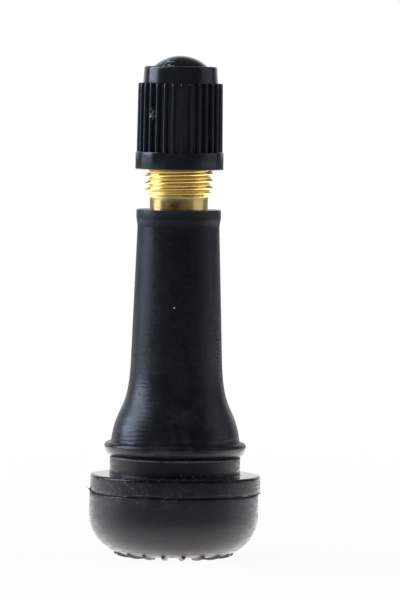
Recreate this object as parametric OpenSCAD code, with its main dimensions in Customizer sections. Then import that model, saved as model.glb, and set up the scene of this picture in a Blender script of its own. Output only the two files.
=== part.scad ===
// Snap-in tyre valve, standing upright on its base.
// A rubber body is moulded round a brass stem. A ribbed cap screws on the stem, and a valve core
// with a spring-loaded pin sits inside it. Millimetres, +Z up along the axis of the valve.
// Every height is stacked upwards from the tips of the raised bars under the base, at Z = 0.

/* [Rubber base] */
// Gap that the raised bars leave under the flat of the bulb
bar_clear = 0.3; // [0.1:0.05:0.5]
// Number of raised bars in the ring under the base
bar_count = 18; // [8:1:20]
// Width of a raised bar, along the ring
bar_w = 0.6; // [0.4:0.05:0.8]
// Length of a bar's flat foot, which the valve stands on
bar_foot = 0.6; // [0.4:0.05:0.8]
// How far a bar runs out from its foot, up the bulb's corner
bar_run = 2; // [1:0.1:2.4]
// Diameter of the bulb that stays inside the rim
bulb_d = 19.3; // [18:0.1:21]
// Height of the bulb, from its flat underside to the parting groove
bulb_h = 7.05; // [6:0.05:9]
// Radius of the bulb's lower corner
bulb_corner_r = 4.6; // [3:0.1:5]
// Height of the groove at the parting line of the mould
seam_h = 0.1; // [0.06:0.01:0.2]
// Depth of the groove at the parting line
seam_depth = 0.25; // [0.1:0.05:0.5]
// Diameter of the disc above the parting line
disc_d = 19.4; // [18.4:0.1:21.4]
// Height of the disc
disc_h = 2; // [1.4:0.05:3]
// Radius of the disc's edges
disc_edge_r = 0.3; // [0.1:0.05:0.5]
// Diameter of the air hole under the base
air_hole_d = 5; // [4:0.1:6]

/* [Rubber neck and lip] */
// Diameter of the neck that fills the rim's hole
neck_d = 14.9; // [14:0.1:15.6]
// Height of the neck, for the thickness of the rim
neck_h = 1.97; // [1.5:0.01:4]
// Radius of the fillet between the disc and the neck
neck_fillet_r = 0.1; // [0.1:0.05:0.6]
// Radius of the neck's upper edge
neck_edge_r = 0.1; // [0.1:0.05:0.4]
// Height of the slit under the lip
slit_h = 0.26; // [0.2:0.02:0.6]
// Depth of the slit, in from the neck's wall
slit_depth = 0.8; // [0.3:0.1:1.5]
// Diameter of the lip that snaps through the rim's hole
lip_d = 16.2; // [15.8:0.1:18]
// Height of the rounded lip
lip_h = 1.52; // [1.2:0.02:2.2]
// Height of the lip's lower side, under its widest line
lip_under_h = 0.95; // [0.6:0.05:1.2]
// Width of the lip's lower side, in from its widest line
lip_under_w = 0.9; // [0.6:0.05:1.2]
// How far the lip stands out from the shoulder above it
lip_proud = 0.75; // [0.3:0.05:0.9]

/* [Rubber sleeve] */
// Height of the flare, from the lip to the straight sleeve
flare_h = 9.35; // [7:0.05:12]
// Inward lean of the shoulder at the foot of the flare
shoulder_lean = 0.58; // [0.4:0.02:1]
// Reach of the shoulder's convex curve
shoulder_reach = 4.5; // [3:0.05:5]
// Reach of the flare's concave curve
flare_reach = 6.3; // [5:0.05:7]
// Diameter of the sleeve where the flare ends
sleeve_d = 10.4; // [9.8:0.1:11.6]
// Height of the tapered sleeve, from the flare to the waist
sleeve_h = 15.62; // [8:0.02:30]
// Diameter of the waist under the top rim
waist_d = 9.35; // [8.6:0.05:9.6]
// Height over which the waist swells out to the top rim
rim_swell_h = 0.85; // [0.6:0.05:2]
// Diameter of the top rim
rim_d = 9.65; // [9.2:0.05:10.4]
// Height of the top rim
rim_h = 0.68; // [0.4:0.02:1.2]
// Radius of the top rim's edge
rim_edge_r = 0.1; // [0.05:0.01:0.3]

/* [Brass stem] */
// Height of bare shank between the rubber and the thread
shank_show_h = 1.36; // [0.8:0.02:4]
// Length of the outside thread
thread_len = 7.66; // [6.5:0.02:12]
// Outside diameter of the thread, 8V1 size
thread_d = 7.7; // [7.4:0.05:8]
// Depth from the thread's crests to the shank
thread_depth = 0.55; // [0.4:0.05:0.7]
// Chamfer at the top of the thread
thread_chamfer = 0.45; // [0.2:0.05:0.6]
// Height of the stem's lower end above the tips of the bars
stem_inset = 3; // [2:0.1:4]
// Diameter of the stem's foot inside the bulb
foot_d = 9; // [8:0.1:12]
// Height of the foot's straight edge
foot_h = 1; // [0.6:0.1:1.6]
// Height of the cone from the foot to the shank
foot_cone_h = 2.2; // [1:0.1:3]
// Number of grip grooves in the shank, which the rubber fills
grip_count = 4; // [2:1:6]
// Height of the lowest grip groove above the stem's lower end
grip_start = 9; // [7:0.1:12]
// Distance from one grip groove to the next
grip_pitch = 2.4; // [1.8:0.1:3]
// Width of a grip groove
grip_w = 1.1; // [0.8:0.1:1.4]
// Depth of a grip groove
grip_depth = 0.4; // [0.2:0.05:0.6]

/* [Cap] */
// Length of thread that the cap covers when it is tight
cap_grip = 4.48; // [3:0.02:6]
// Clearance between the thread's crests and the cap's bore
cap_gap = 0.08; // [0.04:0.01:0.15]
// Wall of the cap between its bore and the valleys of the ribs
cap_wall = 0.43; // [0.35:0.01:0.8]
// Draft of the cap's sides, in degrees
cap_draft = 0.6; // [0.2:0.1:1]
// Height of the plain collar round the cap's mouth
collar_h = 2.05; // [1.2:0.05:2.6]
// How far the collar stands out from the valleys of the ribs
collar_proud = 0.65; // [0.5:0.01:0.9]
// Radius of the collar's edges
collar_edge_r = 0.14; // [0.06:0.02:0.3]
// Chamfer in the cap's mouth
mouth_chamfer = 0.25; // [0.1:0.05:0.4]
// Number of grip ribs
rib_count = 30; // [16:1:36]
// Angle of the first rib from +X when the cap is tight, in degrees
rib_start = 9; // [0:1:12]
// Width of a grip rib
rib_w = 0.4; // [0.3:0.02:0.5]
// How far a rib stands out from the valley
rib_proud = 0.54; // [0.3:0.02:0.6]
// Height of the ribbed zone
rib_h = 7.8; // [5:0.05:10]
// Step in from the valleys to the plain band above the ribs
band_step = 0.02; // [0:0.02:0.15]
// Height of the plain band
band_h = 1.92; // [1.2:0.01:2.6]
// Draft of the plain band, in degrees
band_draft = 3; // [0.5:0.5:4]
// Radius of the band's upper edge
band_edge_r = 0.25; // [0.1:0.05:0.4]
// Width of the flat ledge round the dome
ledge_w = 1.12; // [0.6:0.02:1.4]
// Height of the dome
dome_h = 1.19; // [0.8:0.01:1.8]
// Thickness of the washer in the cap
washer_t = 1; // [0.6:0.1:1.5]
// Clearance between the washer and the cap's bore
washer_gap = 0.05; // [0.02:0.01:0.1]
// Diameter of the cap's upper pocket, above the washer
pocket_d = 4.4; // [3.8:0.1:5]
// Depth of the cap's upper pocket
pocket_h = 4.8; // [3:0.1:5.2]
// How far the washer's hole is narrower than the pocket, on each side
washer_lap = 0.2; // [0.1:0.05:0.4]

/* [Core plug] */
// Depth of the lugs below the stem's rim
core_sink = 0.75; // [0.4:0.05:1.5]
// Outside diameter of the plug's thread
core_thread_d = 5.2; // [5:0.05:5.3]
// Radial clearance round the core's screwed and swivelling parts
core_gap = 0.05; // [0.03:0.01:0.08]
// Step of the widened mouth of the stem
mouth_step = 0.15; // [0.1:0.05:0.25]
// Depth of the widened mouth of the stem
mouth_h = 0.8; // [0.5:0.1:1.2]
// Height of the lugs
lug_h = 1.15; // [0.8:0.05:1.6]
// Width of the lugs
lug_w = 1.9; // [1.4:0.1:2.2]
// Step in from the plug's thread to the lugs
lug_inset = 0.3; // [0.2:0.05:0.5]
// Length of the plug's thread
plug_thread_h = 4; // [3:0.1:5]
// Clearance between the pin's head and the plug's bore
pin_gap = 0.15; // [0.1:0.01:0.25]
// Wall of the plug's neck
plug_wall = 0.6; // [0.4:0.05:0.7]
// Height of the plug's neck
plug_neck_h = 0.6; // [0.5:0.05:1]
// Step out from the plug's neck to its swivel collar
swivel_step = 0.2; // [0.12:0.02:0.3]
// Height of the swivel collar
swivel_h = 0.4; // [0.3:0.05:0.6]
// End play of the swivel
swivel_gap = 0.1; // [0.05:0.01:0.15]

/* [Core barrel] */
// Wall round the swivel collar
barrel_wall = 0.4; // [0.3:0.05:0.5]
// Thickness of the floor under the swivel collar
barrel_floor_h = 0.3; // [0.2:0.05:0.5]
// Clearance between the barrel's head and the stem
chamber_gap = 0.2; // [0.1:0.05:0.3]
// Height of the conical seal ring
ring_h = 1.8; // [1.4:0.1:2.4]
// Height of the ring above the stem's conical seat
ring_lead = 0.4; // [0.2:0.05:0.6]
// Clearance of the ring's upper edge from the stem
ring_gap = 0.05; // [0.02:0.01:0.1]
// How far the conical seat runs on below the ring
seat_runout = 0.1; // [0.05:0.01:0.3]
// Wall of the barrel inside the seal ring
ring_wall = 0.5; // [0.45:0.01:0.6]
// Height of the ridge that holds the ring
ridge_h = 0.4; // [0.3:0.05:0.6]
// How far the ridge stands out under the ring
ridge_proud = 0.08; // [0.04:0.01:0.1]
// Length of the barrel's lower tube
tube_h = 3.2; // [2.4:0.1:4.5]
// Wall of the barrel's lower tube
tube_wall = 0.4; // [0.3:0.05:0.44]
// Clearance for air between the tube and the stem
air_gap = 0.25; // [0.15:0.05:0.4]
// Height from the barrel's sealing rim to the spring's seat
step_z = 1; // [0.8:0.05:1.4]
// Thickness of the step that carries the spring
step_t = 0.6; // [0.4:0.05:0.7]
// Clearance between the pin and the step's hole
step_gap = 0.3; // [0.2:0.05:0.4]
// Width of the barrel's sealing rim
rim_w = 0.5; // [0.45:0.01:0.6]

/* [Core pin] */
// Diameter of the pin
pin_d = 1; // [0.8:0.05:1.2]
// Depth of the pin's head below the stem's rim
pin_sink = 0.25; // [0.1:0.05:0.5]
// Step out from the pin to its head
pin_head_step = 0.35; // [0.2:0.05:0.4]
// Height of the pin's head
pin_head_h = 0.7; // [0.5:0.05:1]
// Gap between the plug and the pin's spring collar
pin_collar_gap = 0.3; // [0.2:0.05:0.5]
// Height of the pin's spring collar
pin_collar_h = 0.4; // [0.3:0.05:0.6]
// Step in from the spring's outside to the pin's spring collar
pin_collar_step = 0.05; // [0.02:0.01:0.1]
// Outside diameter of the spring
spring_d = 2.2; // [2.1:0.05:2.4]
// Diameter of the spring's wire
spring_wire_d = 0.28; // [0.22:0.02:0.32]
// Number of coils in the spring
spring_coils = 6; // [4:1:7]
// Clearance between the spring and the barrel
spring_gap = 0.15; // [0.08:0.01:0.2]
// Thickness of the seal in the cup
cup_seal_t = 0.65; // [0.5:0.05:0.9]
// Step in from the barrel's tube to the seal in the cup
cup_seal_inset = 0.35; // [0.3:0.01:0.4]
// How far the seal stands above the cup's edge
cup_seal_proud = 0.1; // [0.05:0.01:0.2]
// Wall of the cup
cup_wall = 0.25; // [0.15:0.05:0.3]
// Floor of the cup
cup_floor = 0.35; // [0.2:0.05:0.5]
// Step out from the pin to its riveted end
rivet_step = 0.2; // [0.1:0.05:0.3]
// Height of the pin's riveted end
rivet_h = 0.3; // [0.2:0.05:0.5]

/* [Hidden] */
$fn = 96;

// Overlap of joined solids, so that a union or a cut leaves no skin
lap = 0.3;

// Heights of the rubber body
bulb_top = bar_clear + bulb_h;
disc_bottom = bulb_top + seam_h;
disc_top = disc_bottom + disc_h;
neck_top = disc_top + neck_h;
lip_bottom = neck_top + slit_h;
lip_mid = lip_bottom + lip_under_h;
lip_top = lip_bottom + lip_h;
flare_top = lip_top + flare_h;
waist_z = flare_top + sleeve_h;
rim_bottom = waist_z + rim_swell_h;
rubber_top = rim_bottom + rim_h;

// Radii of the rubber body
bulb_r = bulb_d / 2;
flat_r = bulb_r - bulb_corner_r;
disc_r = disc_d / 2;
seam_r = min(bulb_r, disc_r) - seam_depth;
neck_r = neck_d / 2;
lip_r = lip_d / 2;
nose_r = lip_h - lip_under_h;
nose_end = lip_proud < nose_r ? acos(1 - lip_proud / nose_r) : 90;
shoulder_r = lip_r - lip_proud;
sleeve_r = sleeve_d / 2;
waist_r = waist_d / 2;
rim_r = rim_d / 2;
sleeve_slope = (sleeve_r - waist_r) / sleeve_h;

// Heights and radii of the brass stem
thread_bottom = rubber_top + shank_show_h;
stem_top = thread_bottom + thread_len;
thread_r = thread_d / 2;
shank_r = thread_r - thread_depth;
foot_top = stem_inset + foot_h;

// Diameters of the core, from the pin outwards
pin_head_d = pin_d + 2 * pin_head_step;
plug_bore_d = pin_head_d + 2 * pin_gap;
plug_neck_d = plug_bore_d + 2 * plug_wall;
swivel_d = plug_neck_d + 2 * swivel_step;
barrel_head_d = swivel_d + 2 * core_gap + 2 * barrel_wall;
chamber_d = barrel_head_d + 2 * chamber_gap;
core_bore_d = core_thread_d + 2 * core_gap;
mouth_d = core_bore_d + 2 * mouth_step;
barrel_bore_d = spring_d + 2 * spring_gap;
ring_in_d = barrel_bore_d + 2 * ring_wall;
ridge_d = ring_in_d + 2 * ridge_proud;
tube_d = barrel_bore_d + 2 * tube_wall;
lower_bore_d = max(tube_d, ridge_d) + 2 * air_gap;
step_hole_d = pin_d + 2 * step_gap;
rim_in_d = tube_d - 2 * rim_w;
cup_seal_d = tube_d - 2 * cup_seal_inset;
cup_d = cup_seal_d + 2 * cup_wall;
pin_collar_d = spring_d - 2 * pin_collar_step;

// Heights of the core, from the stem's rim downwards
lug_top = stem_top - core_sink;
lug_bottom = lug_top - lug_h;
plug_thread_bottom = lug_bottom - plug_thread_h;
plug_neck_bottom = plug_thread_bottom - plug_neck_h;
plug_bottom = plug_neck_bottom - swivel_h;
barrel_top = plug_thread_bottom - swivel_gap;
swivel_lip_bottom = plug_neck_bottom + swivel_gap;
ring_top = plug_bottom - barrel_floor_h;
ring_bottom = ring_top - ring_h;
ridge_bottom = ring_bottom - ridge_h;
barrel_bottom = ridge_bottom - tube_h;
spring_bottom = barrel_bottom + step_z;
step_bottom = spring_bottom - step_t;
seat_top = ring_top - ring_lead;
seat_bottom = ring_bottom - seat_runout;
pin_top = stem_top - pin_sink;
pin_collar_top = plug_bottom - pin_collar_gap;
spring_top = pin_collar_top - pin_collar_h;
cup_top = barrel_bottom - cup_seal_proud;
cup_floor_top = barrel_bottom - cup_seal_t;
cup_bottom = cup_floor_top - cup_floor;
pin_bottom = cup_bottom - rivet_h;

// Heights and radii of the cap
cap_bottom = stem_top - cap_grip;
collar_top = cap_bottom + collar_h;
band_bottom = collar_top + rib_h;
band_top = band_bottom + band_h;
cap_top = band_top + dome_h;
ceiling_z = stem_top + washer_t;
cap_bore_r = thread_r + cap_gap;
valley_r = cap_bore_r + cap_wall;
collar_r = valley_r + collar_proud;
valley_top_r = valley_r - rib_h * tan(cap_draft);
band_r = valley_top_r - band_step;
band_top_r = band_r - band_h * tan(band_draft);
dome_r = band_top_r - ledge_w;
dome_ball_r = (dome_r * dome_r + dome_h * dome_h) / (2 * dome_h);
dome_angle = asin(dome_r / dome_ball_r);
rib_tip_r = valley_r + rib_proud;
washer_r = cap_bore_r - washer_gap;
washer_hole_r = pocket_d / 2 - washer_lap;

// Sides of the spring's wire, and its rings in each coil
wire_sides = 8;
coil_rings = 18;

// Points of an oval's arc in the plane of a profile, as [radius, height]
function oval(centre, w, h, from, to, steps = 6) =
    [for (i = [0:steps]) let (a = from + (to - from) * i / steps) centre + [w * cos(a), h * sin(a)]];

// Points of a round arc in the plane of a profile
function arc(centre, r, from, to, steps = 6) = oval(centre, r, r, from, to, steps);

// Points of a cubic curve from p to s, with its handles at q and r
function curve(p, q, r, s, steps = 18) =
    [for (i = [0:steps]) let (t = i / steps, u = 1 - t)
        u * u * u * p + 3 * u * u * t * q + 3 * u * t * t * r + t * t * t * s];

// Radius of the stem's conical seat at a height
function seat_r(z) =
    lower_bore_d / 2 + (chamber_d - lower_bore_d) / 2 * (z - seat_bottom) / (seat_top - seat_bottom);

// Ring of wire round the spring's centre line at the angle a
function wire_ring(a, rise) =
    let (coil_r = (spring_d - spring_wire_d) / 2, wire_r = spring_wire_d / 2,
         z = spring_bottom + wire_r + rise * a / 360)
    [for (i = [0:wire_sides - 1]) let (b = 360 * i / wire_sides, r = coil_r + wire_r * cos(b))
        [r * cos(a), r * sin(a), z + wire_r * sin(b)]];

// Tube of a given bore, turned round the axis between two heights
module tube(d_out, d_in, from, to) {
    rotate_extrude() translate([d_in / 2, from]) square([(d_out - d_in) / 2, to - from]);
}

// Solid outline of the stem, which the rubber is moulded round
stem_outline = concat(
    [[foot_d / 2, stem_inset], [foot_d / 2, foot_top], [shank_r, foot_top + foot_cone_h]],
    [for (i = [0:grip_count - 1], p = [[0, 0], [grip_depth, grip_depth], [grip_depth, grip_w - grip_depth],
        [0, grip_w]]) [shank_r - p[0], stem_inset + grip_start + i * grip_pitch + p[1]]],
    [[shank_r, thread_bottom], [thread_r, thread_bottom + thread_depth],
     [thread_r, stem_top - thread_chamfer], [thread_r - thread_chamfer, stem_top]]);

// Outline of the rubber body, from its underside to its top
rubber_outline = concat(
    [[0, bar_clear]],
    arc([flat_r, bar_clear + bulb_corner_r], bulb_corner_r, -90, 0, 14),
    [[bulb_r, bulb_top], [seam_r, bulb_top], [seam_r, disc_bottom]],
    arc([disc_r - disc_edge_r, disc_bottom + disc_edge_r], disc_edge_r, -90, 0),
    arc([disc_r - disc_edge_r, disc_top - disc_edge_r], disc_edge_r, 0, 90),
    arc([neck_r + neck_fillet_r, disc_top + neck_fillet_r], neck_fillet_r, 270, 180),
    arc([neck_r - neck_edge_r, neck_top - neck_edge_r], neck_edge_r, 0, 90),
    [[neck_r - slit_depth, neck_top], [neck_r - slit_depth, lip_bottom]],
    oval([lip_r - lip_under_w, lip_mid], lip_under_w, lip_under_h, -90, 0, 8),
    arc([lip_r - nose_r, lip_mid], nose_r, 0, nose_end, 8),
    curve([shoulder_r, lip_mid + nose_r * sin(nose_end)],
          [shoulder_r - shoulder_lean, lip_top + shoulder_reach],
          [sleeve_r + flare_reach * sleeve_slope, flare_top - flare_reach],
          [sleeve_r, flare_top]),
    curve([waist_r, waist_z], [waist_r, waist_z + rim_swell_h / 2],
          [rim_r, rim_bottom - rim_swell_h / 2], [rim_r, rim_bottom], 8),
    arc([rim_r - rim_edge_r, rubber_top - rim_edge_r], rim_edge_r, 0, 90),
    [[0, rubber_top]]);

// Rubber body, with its bore the shape of the stem
module rubber_body() {
    color("#191b1d") difference() {
        union() {
            rotate_extrude() polygon(rubber_outline);
            base_bars();
        }
        rotate_extrude() polygon(concat([[0, stem_inset]], stem_outline, [[0, stem_top]]));
        translate([0, 0, -lap]) cylinder(d = air_hole_d, h = stem_inset + 2 * lap);
    }
}

// Ring of raised bars under the base, which follow the bulb's corner outwards
module base_bars() {
    corner_z = bar_clear + bulb_corner_r;
    skin = concat([[0, 0]], arc([flat_r, corner_z], corner_z, -90, 0, 14), [[0, corner_z]]);
    intersection() {
        rotate_extrude() polygon(skin);
        for (i = [0:bar_count - 1]) rotate(360 * i / bar_count)
            translate([flat_r - bar_foot, -bar_w / 2, 0])
                cube([bar_foot + bar_run, bar_w, bar_clear + bulb_corner_r / 2]);
    }
}

// Brass stem with its bore for the core
module brass_stem() {
    bore_outline = [
        [mouth_d / 2, stem_top], [mouth_d / 2, stem_top - mouth_h],
        [core_bore_d / 2, stem_top - mouth_h], [core_bore_d / 2, barrel_top],
        [chamber_d / 2, barrel_top], [chamber_d / 2, seat_top],
        [lower_bore_d / 2, seat_bottom], [lower_bore_d / 2, stem_inset]];
    color("#a07c3c") rotate_extrude() polygon(concat(stem_outline, bore_outline));
}

// Screw cap with a plain collar, drafted grip ribs, a plain band and a dome
module cap_shell() {
    outline = concat(
        [[0, cap_bottom]],
        arc([collar_r - collar_edge_r, cap_bottom + collar_edge_r], collar_edge_r, -90, 0),
        arc([collar_r - collar_edge_r, collar_top - collar_edge_r], collar_edge_r, 0, 90),
        [[valley_r, collar_top], [valley_top_r, band_bottom], [band_r, band_bottom]],
        arc([band_top_r - band_edge_r, band_top - band_edge_r], band_edge_r, 0, 90),
        arc([0, cap_top - dome_ball_r], dome_ball_r, 90 - dome_angle, 90, 10));
    bore_outline = [
        [0, cap_bottom - lap], [cap_bore_r + mouth_chamfer + lap, cap_bottom - lap],
        [cap_bore_r, cap_bottom + mouth_chamfer], [cap_bore_r, ceiling_z],
        [pocket_d / 2, ceiling_z], [pocket_d / 2, ceiling_z + pocket_h], [0, ceiling_z + pocket_h]];
    color("#1a1b1d") difference() {
        union() {
            rotate_extrude() polygon(outline);
            for (i = [0:rib_count - 1]) rotate(rib_start + 360 * i / rib_count) cap_rib();
        }
        rotate_extrude() polygon(bore_outline);
    }
}

// One grip rib with a rounded nose, leaning inwards by the draft
module cap_rib() {
    nose_x = rib_tip_r - rib_w / 2;
    root_x = valley_r - cap_wall / 2;
    translate([nose_x, 0, collar_top]) rotate([0, -cap_draft, 0])
        translate([0, 0, -collar_h / 2]) linear_extrude(rib_h + collar_h / 2) {
            circle(d = rib_w, $fn = 24);
            translate([root_x - nose_x, -rib_w / 2]) square([nose_x - root_x, rib_w]);
        }
}

// Washer that the cap presses on the stem's rim
module cap_seal() {
    color("#2b2b2a") tube(2 * washer_r, 2 * washer_hole_r, stem_top, ceiling_z);
}

// Screwed plug of the core, with two lugs for the core key and a swivel collar
module core_plug() {
    lug_d = core_thread_d - 2 * lug_inset;
    color("#b08d4c") difference() {
        union() {
            intersection() {
                translate([0, 0, lug_bottom]) cylinder(d = lug_d, h = lug_h);
                translate([-lug_d, -lug_w / 2, lug_bottom]) cube([2 * lug_d, lug_w, lug_h]);
            }
            tube(core_thread_d, 0, plug_thread_bottom, lug_bottom);
            tube(plug_neck_d, 0, plug_neck_bottom, plug_thread_bottom);
            tube(swivel_d, 0, plug_bottom, plug_neck_bottom);
        }
        translate([0, 0, plug_bottom - lap]) cylinder(d = plug_bore_d, h = lug_top - plug_bottom + 2 * lap);
    }
}

// Barrel of the core: swivel head, groove for the seal ring, and the tube that holds the spring
module core_barrel() {
    swivel_bore_d = swivel_d + 2 * core_gap;
    color("#b08d4c") union() {
        tube(barrel_head_d, plug_neck_d + 2 * core_gap, swivel_lip_bottom, barrel_top);
        tube(barrel_head_d, swivel_bore_d, plug_bottom, swivel_lip_bottom);
        tube(barrel_head_d, barrel_bore_d, ring_top, plug_bottom);
        tube(ring_in_d, barrel_bore_d, ring_bottom, ring_top);
        tube(ridge_d, barrel_bore_d, ridge_bottom, ring_bottom);
        tube(tube_d, barrel_bore_d, spring_bottom, ridge_bottom);
        tube(tube_d, step_hole_d, step_bottom, spring_bottom);
        tube(tube_d, rim_in_d, barrel_bottom, step_bottom);
    }
}

// Conical ring on the barrel, seated on the stem's cone
module core_barrel_seal() {
    outline = [
        [ring_in_d / 2, ring_bottom], [seat_r(ring_bottom), ring_bottom],
        [seat_r(seat_top) - ring_gap, seat_top - ring_gap],
        [seat_r(seat_top) - ring_gap, ring_top], [ring_in_d / 2, ring_top]];
    color("#8d2f26") rotate_extrude() polygon(outline);
}

// Pin of the core, with its head, spring collar and riveted end
module core_pin() {
    color("#b99a5b") union() {
        tube(pin_d, 0, pin_bottom, pin_top);
        tube(pin_head_d, 0, pin_top - pin_head_h, pin_top);
        tube(pin_collar_d, 0, spring_top, pin_collar_top);
        tube(pin_d + 2 * rivet_step, 0, pin_bottom, cup_bottom);
    }
}

// Coil spring between the pin's collar and the barrel's step
module core_spring() {
    rise = (spring_top - spring_bottom - spring_wire_d) / spring_coils;
    last = spring_coils * coil_rings;
    points = [for (k = [0:last]) each wire_ring(360 * k / coil_rings, rise)];
    sides = [for (k = [0:last - 1], i = [0:wire_sides - 1])
        let (a = k * wire_sides + i, b = k * wire_sides + (i + 1) % wire_sides)
        [a, a + wire_sides, b + wire_sides, b]];
    start = [for (i = [0:wire_sides - 1]) i];
    end = [for (i = [wire_sides - 1:-1:0]) last * wire_sides + i];
    color("#9a9c9e") polyhedron(points, concat(sides, [start, end]));
}

// Cup at the lower end of the pin
module core_cup() {
    color("#b99a5b") union() {
        tube(cup_d, pin_d, cup_bottom, cup_floor_top);
        tube(cup_d, cup_seal_d, cup_floor_top, cup_top);
    }
}

// Seal disc in the cup, closed on the barrel's rim
module core_cup_seal() {
    color("#2b2b2a") tube(cup_seal_d, pin_d, cup_floor_top, barrel_bottom);
}

rubber_body();
brass_stem();
cap_shell();
cap_seal();
core_plug();
core_barrel();
core_barrel_seal();
core_pin();
core_spring();
core_cup();
core_cup_seal();
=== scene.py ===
# %% [markdown]
# A snap-in tyre valve
#
# The valve is a rubber body moulded round a brass stem, a ribbed screw cap on the stem's thread, and
# a small spring-loaded core inside the stem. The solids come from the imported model, which is loaded
# once as a fixed frame. Everything that is made here takes its place from that frame, so nothing
# has to be fitted by eye. Lengths are written in millimetres and turned to metres at the end.

# %% Load the frame
import math

import bmesh
import bpy
import numpy as np
from mathutils import Matrix, Vector


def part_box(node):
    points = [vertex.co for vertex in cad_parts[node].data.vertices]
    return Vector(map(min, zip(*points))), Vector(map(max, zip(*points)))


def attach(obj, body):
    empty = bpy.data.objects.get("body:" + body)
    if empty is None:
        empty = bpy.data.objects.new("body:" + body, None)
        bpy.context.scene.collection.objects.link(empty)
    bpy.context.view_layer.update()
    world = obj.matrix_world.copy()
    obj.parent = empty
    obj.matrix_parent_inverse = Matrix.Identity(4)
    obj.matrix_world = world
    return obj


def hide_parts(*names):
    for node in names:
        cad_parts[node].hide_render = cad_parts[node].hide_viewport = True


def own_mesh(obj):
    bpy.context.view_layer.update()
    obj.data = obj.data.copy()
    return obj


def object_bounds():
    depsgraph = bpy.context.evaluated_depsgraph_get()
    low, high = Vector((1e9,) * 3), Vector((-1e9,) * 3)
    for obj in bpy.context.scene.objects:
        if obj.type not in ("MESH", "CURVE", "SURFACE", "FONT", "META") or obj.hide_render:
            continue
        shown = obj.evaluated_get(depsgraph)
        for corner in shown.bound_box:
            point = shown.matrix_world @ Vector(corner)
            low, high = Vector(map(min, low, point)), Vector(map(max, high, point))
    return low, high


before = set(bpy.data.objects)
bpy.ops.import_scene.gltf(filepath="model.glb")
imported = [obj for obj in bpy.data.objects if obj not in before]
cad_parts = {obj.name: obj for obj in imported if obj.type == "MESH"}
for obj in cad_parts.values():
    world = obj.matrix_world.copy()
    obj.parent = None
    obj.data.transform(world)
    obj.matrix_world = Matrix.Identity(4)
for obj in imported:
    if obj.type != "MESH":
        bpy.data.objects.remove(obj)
cad_low, cad_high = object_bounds()
MM = 0.001
print("CAD box in mm:", [round(v / MM, 2) for v in cad_high - cad_low])

# %% [markdown]
# Camera
#
# The picture was taken almost level, from a little above the cap, with a long lens. A camera can be
# aimed by eye, but a round part tells its own story: the ellipses of the disc and of the cap's edge
# open as the camera rises, and the thread's known pitch gives the scale. So the camera stands at a
# set distance, and the lens follows from how many pixels one millimetre takes.

# %% Camera
IMAGE_LONG_SIDE = 600
PIXELS_PER_MM = 8.78
CAMERA_DISTANCE = 650
CAMERA_HEIGHT = 60
CAMERA_SIDE = 2.58
CAMERA_PITCH = math.radians(2.694)
CAMERA_ROLL = math.radians(0.879)
SENSOR = 36
NEAREST_SEEN = 10

camera = bpy.data.objects.new("camera", bpy.data.cameras.new("camera"))
bpy.context.scene.collection.objects.link(camera)
tilt = Matrix.Rotation(math.pi / 2 - CAMERA_PITCH, 4, "X")
roll = Matrix.Rotation(CAMERA_ROLL, 4, "Z")
stand = Matrix.Translation(Vector((CAMERA_SIDE, -CAMERA_DISTANCE, CAMERA_HEIGHT)) * MM)
camera.matrix_world = stand @ tilt @ roll
camera.data.sensor_width = SENSOR
camera.data.lens = PIXELS_PER_MM * CAMERA_DISTANCE / IMAGE_LONG_SIDE * SENSOR
camera.data.clip_start = NEAREST_SEEN * MM
bpy.context.scene.camera = camera
print("Lens in mm:", round(camera.data.lens, 1))

# %% [markdown]
# Two helpers for every material
#
# Colours are easiest to choose as the hex values of a paint program, but shaders work in linear
# light, so one function turns the first into the second. A shader is a graph of nodes. Setting one
# up takes three lines each time, so one small function adds a node with its settings and its links.

# %% Colour and node helpers
def linear(hex_colour):
    """Linear RGBA of an sRGB hex colour."""
    parts = [int(hex_colour[i:i + 2], 16) / 255 for i in (1, 3, 5)]
    return [c / 12.92 if c <= 0.04045 else ((c + 0.055) / 1.055) ** 2.4 for c in parts] + [1]


def add_node(tree, kind, settings=None, links=None):
    """Adds a node. Settings are its properties or input values, links are sockets for its inputs."""
    made = tree.nodes.new("ShaderNode" + kind)
    for name, value in (settings or {}).items():
        if isinstance(name, str) and hasattr(made, name):
            setattr(made, name, value)
        else:
            made.inputs[name].default_value = value
    for name, socket in (links or {}).items():
        tree.links.new(socket, made.inputs[name])
    return made


def new_material(name):
    """An empty material and its node tree."""
    material = bpy.data.materials.new(name)
    material.use_nodes = True
    material.node_tree.nodes.clear()
    return material, material.node_tree


def per_mm(size):
    """Scale of a noise or cell pattern whose features are so many millimetres wide."""
    return 1 / (size * MM)


def wave_per_mm(size):
    """Scale of a wave pattern whose bands are so many millimetres apart. At a scale of 1 its angle is 20
    times the length."""
    return 2 * math.pi / (20 * size * MM)


print("Black rubber in linear light:", [round(c, 4) for c in linear("#14181b")])

# %% [markdown]
# The studio
#
# Black rubber shows little colour of its own. What the eye reads is what it mirrors: a window of light
# at its left in two panes, a dim card and a low sill at its right, a white sweep behind that brightens
# its edges, a painted glow on the paper round its foot that the underside mirrors, and a dark flag in
# front that keeps the middle dark. The sweep and the painted glow are for mirrored rays only. Rays
# from the camera see plain white and the valve's soft shadow.

# %% Floor
# The paper is large, so its own lengths are in metres
FLOOR_HALF = 30.0
NEAR_WHITE = 0.95
SHADOW_REACH = 0.3
PATCH_MIDDLE = (0, 0.06, 0)
PATCH_FULL = 0.1
PATCH_END = 0.15
PATCH_BRIGHT = 2.8
PATCH_FRONT = 1.15
FRONT_UP_TO = -0.02
BRIGHT_FROM = -0.005


def ray_kinds(tree):
    """Whether a ray comes from the camera, and whether a piece mirrored it or let it through."""
    ray = add_node(tree, "LightPath").outputs
    mirrored = add_node(tree, "Math", {"operation": "MAXIMUM"},
                        {0: ray["Is Glossy Ray"], 1: ray["Is Transmission Ray"]}).outputs[0]
    return ray["Is Camera Ray"], mirrored


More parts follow.
